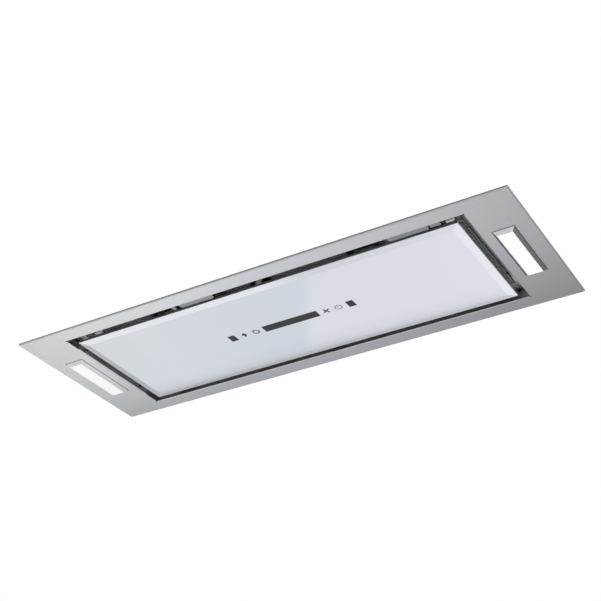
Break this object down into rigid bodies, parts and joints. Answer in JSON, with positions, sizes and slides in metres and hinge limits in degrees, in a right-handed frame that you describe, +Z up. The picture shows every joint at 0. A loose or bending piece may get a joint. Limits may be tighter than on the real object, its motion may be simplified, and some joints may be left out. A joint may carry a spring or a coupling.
{
  "type": "built-in range hood",
  "caption": "Canopy range hood for a cabinet cut-out: steel face plate with a swing-down glass panel, end lamps, grease filters, blower tower and round duct collar.",
  "frame": {"origin": "middle of the seating plane, where the face plate's rim meets the underside of the cabinet", "axes": "+X to the right along the hood, -Y towards the user, +Z up into the cabinet"},
  "size_m": [0.9, 0.32, 0.3067],
  "materials": {
    "brushed_stainless": "brushed along the length, satin",
    "galvanised_steel": "zinc-coated sheet, semi-matte",
    "bright_steel": "bright zinc plate",
    "spring_steel": "bare strip, satin",
    "white_glass": "back-painted glass, polished",
    "black_print": "fired print under polish",
    "black_moulding": "fine-textured moulding",
    "grey_moulding": "fine-textured moulding",
    "white_moulding": "fine-textured moulding",
    "circuit_board": "solder-masked board",
    "filter_aluminium": "mill finish",
    "lamp_silver": "silver-grey moulding, satin",
    "lamp_opal": "opal, satin",
    "lamp_board_white": "white solder mask on aluminium",
    "motor_paint": "grey enamel",
    "rubber": "soft, matte",
    "magnet": "sintered, matte",
    "black_screw": "black passivated"
  },
  "bodies": {
    "hood_body": {"cable_gland": "black_moulding", "case_screws": "bright_steel", "catch_bracket_left": "galvanised_steel", "catch_bracket_right": "galvanised_steel", "catch_magnets": "magnet", "control_case": "grey_moulding", "control_lid": "grey_moulding", "control_screws": "bright_steel", "edge_clip": "galvanised_steel", "face_plate": "brushed_stainless", "filter_divider": "galvanised_steel", "filter_frame_left": "filter_aluminium", "filter_frame_right": "filter_aluminium", "filter_mesh_left": "filter_aluminium", "filter_mesh_right": "filter_aluminium", "filter_rail_front": "galvanised_steel", "filter_rail_rear": "galvanised_steel", "flap_rod": "bright_steel", "hinge_bracket_left": "galvanised_steel", "hinge_bracket_right": "galvanised_steel", "hinge_pin_left": "bright_steel", "hinge_pin_right": "bright_steel", "housing_tray": "galvanised_steel", "lamp_board_left": "lamp_board_white", "lamp_board_right": "lamp_board_white", "lamp_cover_left": "galvanised_steel", "lamp_cover_right": "galvanised_steel", "lamp_cover_screws": "black_screw", "lamp_diffuser_left": "lamp_opal", "lamp_diffuser_right": "lamp_opal", "lamp_frame_left": "lamp_silver", "lamp_frame_right": "lamp_silver", "latch_spring_left": "spring_steel", "latch_spring_right": "spring_steel", "motor_bracket": "galvanised_steel", "motor_case": "motor_paint", "motor_dampers": "rubber", "outlet_collar": "black_moulding", "panel_stops": "rubber", "power_board": "circuit_board", "scroll_left": "white_moulding", "scroll_right": "white_moulding", "side_springs": "spring_steel", "stop_post": "white_moulding", "tower_lid": "galvanised_steel", "tower_shell": "galvanised_steel"},
    "panel": {"glass_panel": "white_glass", "key_symbols": "black_print", "panel_carrier": "galvanised_steel", "touch_board": "circuit_board", "board_cover": "black_moulding", "hinge_arm_left": "galvanised_steel", "hinge_arm_right": "galvanised_steel", "strike_plates": "galvanised_steel"},
    "impeller": {"blower_wheel": "white_moulding", "motor_shaft": "bright_steel"},
    "front_flap": {"flap_front": "black_moulding"},
    "rear_flap": {"flap_rear": "black_moulding"},
    "left_latch": {"filter_latch_left": "black_moulding"},
    "right_latch": {"filter_latch_right": "black_moulding"}
  },
  "joints": [
    {"name": "panel_swing", "type": "hinge", "parent": "hood_body", "child": "panel", "pos_m": [0, 0.106, 0.004], "axis": [1, 0, 0], "range_deg": [0, 88]},
    {"name": "wheel_spin", "type": "hinge", "parent": "hood_body", "child": "impeller", "pos_m": [0, -0.026, 0.138], "axis": [1, 0, 0], "continuous": true},
    {"name": "front_flap_lift", "type": "hinge", "parent": "hood_body", "child": "front_flap", "pos_m": [0, 0.04037, 0.265], "axis": [-1, 0, 0], "range_deg": [0, 75]},
    {"name": "rear_flap_lift", "type": "hinge", "parent": "hood_body", "child": "rear_flap", "pos_m": [0, 0.04037, 0.265], "axis": [1, 0, 0], "range_deg": [0, 75]},
    {"name": "left_latch_slide", "type": "slide", "parent": "hood_body", "child": "left_latch", "axis": [0, 1, 0], "range_m": [0, 0.006], "stiffness_N_per_m": 300, "springref_m": -0.003, "deforming": ["latch_spring_left"]},
    {"name": "right_latch_slide", "type": "slide", "parent": "hood_body", "child": "right_latch", "axis": [0, 1, 0], "range_m": [0, 0.006], "stiffness_N_per_m": 300, "springref_m": -0.003, "deforming": ["latch_spring_right"]}
  ]
}
